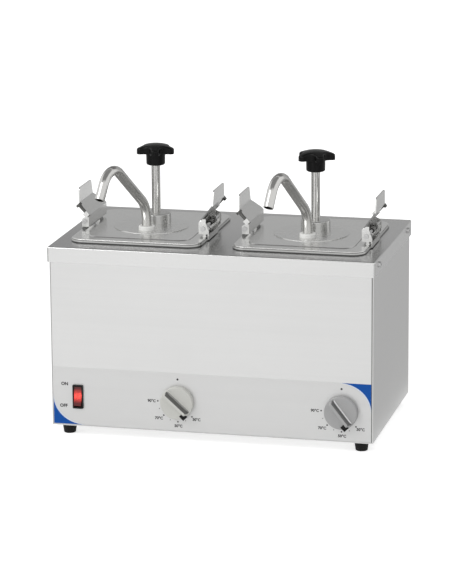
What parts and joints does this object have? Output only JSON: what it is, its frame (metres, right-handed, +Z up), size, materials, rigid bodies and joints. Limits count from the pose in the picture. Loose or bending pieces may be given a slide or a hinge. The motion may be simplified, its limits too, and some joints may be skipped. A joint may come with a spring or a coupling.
{
  "type": "topping warmer",
  "caption": "Countertop electric warmer for sauce toppings: brushed steel cabinet, lift-out pans with latched lids, hand pumps with bent spouts, thermostat dials and a lit rocker switch.",
  "frame": {"origin": "on the standing surface, under the middle of the cabinet, midway between the four feet", "axes": "+Z up, front with dials and spouts towards -Y, +X to the right as seen from the front"},
  "size_m": [0.4044, 0.282, 0.3383],
  "materials": {
    "cabinet_steel": "fine horizontal brushing, satin",
    "pan_steel": "smooth satin, half mirror",
    "well_steel": "drawn, satin",
    "pump_steel": "fine satin round the tube",
    "polished_steel": "polished",
    "latch_steel": "satin",
    "spring_steel": "drawn wire",
    "screw_steel": "plain zinc",
    "shaft_steel": "turned",
    "black_rubber": "matte",
    "black_seal": "smooth",
    "overlay_film": "fine satin film",
    "black_plastic": "moulded",
    "black_knob": "semi-gloss moulded",
    "red_rocker": "clear red, lit",
    "beige_knob": "moulded",
    "grey_knob": "moulded",
    "white_collar": "moulded",
    "terminal_plastic": "moulded",
    "wire_insulation": "silicone sleeve",
    "sensor_copper": "plain",
    "heater_aluminium": "cast",
    "mineral_wool": "loose wool"
  },
  "bodies": {
    "cabinet": {"base_plate": "cabinet_steel", "side_panel_left": "cabinet_steel", "side_panel_right": "cabinet_steel", "front_panel": "cabinet_steel", "back_panel": "cabinet_steel", "top_cover": "cabinet_steel", "cabinet_screws": "screw_steel", "rubber_feet": "black_rubber", "control_overlay": "overlay_film", "switch_housing": "black_plastic", "thermostat_bodies": "black_plastic", "temperature_sensors": "sensor_copper", "inner_well_left": "well_steel", "inner_well_right": "well_steel", "heating_plates": "heater_aluminium", "insulation_jackets": "mineral_wool", "terminal_block": "terminal_plastic", "cable_gland": "black_plastic", "wiring": "wire_insulation"},
    "rocker": {"switch_rocker": "red_rocker"},
    "dial_left": {"thermostat_knob_left": "beige_knob", "thermostat_shaft_left": "shaft_steel"},
    "pan_left": {"food_pan_left": "pan_steel"},
    "lid_left": {"lid_left": "pan_steel", "pump_flange_left": "pan_steel", "pump_cylinder_left": "pump_steel", "rod_collar_left": "polished_steel", "spout_tube_left": "pump_steel", "spout_collar_left": "white_collar", "latch_brackets_left": "latch_steel", "latch_pins_left": "latch_steel", "latch_springs_left": "spring_steel", "return_spring_left": "spring_steel"},
    "plunger_left": {"plunger_rod_left": "pump_steel", "piston_seal_left": "black_seal", "pump_knob_left": "black_knob"},
    "latch_left_west": {"latch_lever_left_west": "latch_steel", "latch_screw_left_west": "screw_steel"},
    "latch_left_east": {"latch_lever_left_east": "latch_steel", "latch_screw_left_east": "screw_steel"},
    "dial_right": {"thermostat_knob_right": "grey_knob", "thermostat_shaft_right": "shaft_steel"},
    "pan_right": {"food_pan_right": "pan_steel"},
    "lid_right": {"lid_right": "pan_steel", "pump_flange_right": "pan_steel", "pump_cylinder_right": "pump_steel", "rod_collar_right": "polished_steel", "spout_tube_right": "pump_steel", "spout_collar_right": "white_collar", "latch_brackets_right": "latch_steel", "latch_pins_right": "latch_steel", "latch_springs_right": "spring_steel", "return_spring_right": "spring_steel"},
    "plunger_right": {"plunger_rod_right": "pump_steel", "piston_seal_right": "black_seal", "pump_knob_right": "black_knob"},
    "latch_right_west": {"latch_lever_right_west": "latch_steel", "latch_screw_right_west": "screw_steel"},
    "latch_right_east": {"latch_lever_right_east": "latch_steel", "latch_screw_right_east": "screw_steel"}
  },
  "joints": [
    {"name": "switch_rock", "type": "hinge", "parent": "cabinet", "child": "rocker", "pos_m": [-0.1648, -0.1148, 0.05], "axis": [1, 0, 0], "range_deg": [0, 20]},
    {"name": "thermostat_turn_left", "type": "hinge", "parent": "cabinet", "child": "dial_left", "pos_m": [-0.0405, -0.1171, 0.0506], "axis": [0, 1, 0], "range_deg": [-162.5, 107.5]},
    {"name": "pan_lift_left", "type": "slide", "parent": "cabinet", "child": "pan_left", "axis": [0, 0, 1], "range_m": [0, 0.16]},
    {"name": "lid_lift_left", "type": "slide", "parent": "pan_left", "child": "lid_left", "axis": [0, 0, 1], "range_m": [0, 0.17]},
    {"name": "pump_stroke_left", "type": "slide", "parent": "lid_left", "child": "plunger_left", "axis": [0, 0, -1], "range_m": [0, 0.05], "stiffness_N_per_m": 300, "springref_m": -0.05, "deforming": ["return_spring_left"]},
    {"name": "latch_open_left_west", "type": "hinge", "parent": "lid_left", "child": "latch_left_west", "pos_m": [-0.1756, -0.004, 0.249], "axis": [0, 1, 0], "range_deg": [0, 20], "stiffness_Nm_per_rad": 0.03, "springref_deg": -28.65},
    {"name": "latch_open_left_east", "type": "hinge", "parent": "lid_left", "child": "latch_left_east", "pos_m": [-0.0246, -0.004, 0.249], "axis": [0, -1, 0], "range_deg": [0, 20], "stiffness_Nm_per_rad": 0.03, "springref_deg": -28.65},
    {"name": "thermostat_turn_right", "type": "hinge", "parent": "cabinet", "child": "dial_right", "pos_m": [0.16, -0.1171, 0.0506], "axis": [0, 1, 0], "range_deg": [-169.8, 100.2]},
    {"name": "pan_lift_right", "type": "slide", "parent": "cabinet", "child": "pan_right", "axis": [0, 0, 1], "range_m": [0, 0.16]},
    {"name": "lid_lift_right", "type": "slide", "parent": "pan_right", "child": "lid_right", "axis": [0, 0, 1], "range_m": [0, 0.17]},
    {"name": "pump_stroke_right", "type": "slide", "parent": "lid_right", "child": "plunger_right", "axis": [0, 0, -1], "range_m": [0, 0.05], "stiffness_N_per_m": 300, "springref_m": -0.05, "deforming": ["return_spring_right"]},
    {"name": "latch_open_right_west", "type": "hinge", "parent": "lid_right", "child": "latch_right_west", "pos_m": [0.0246, -0.004, 0.249], "axis": [0, 1, 0], "range_deg": [0, 20], "stiffness_Nm_per_rad": 0.03, "springref_deg": -28.65},
    {"name": "latch_open_right_east", "type": "hinge", "parent": "lid_right", "child": "latch_right_east", "pos_m": [0.1756, -0.004, 0.249], "axis": [0, -1, 0], "range_deg": [0, 20], "stiffness_Nm_per_rad": 0.03, "springref_deg": -28.65}
  ]
}
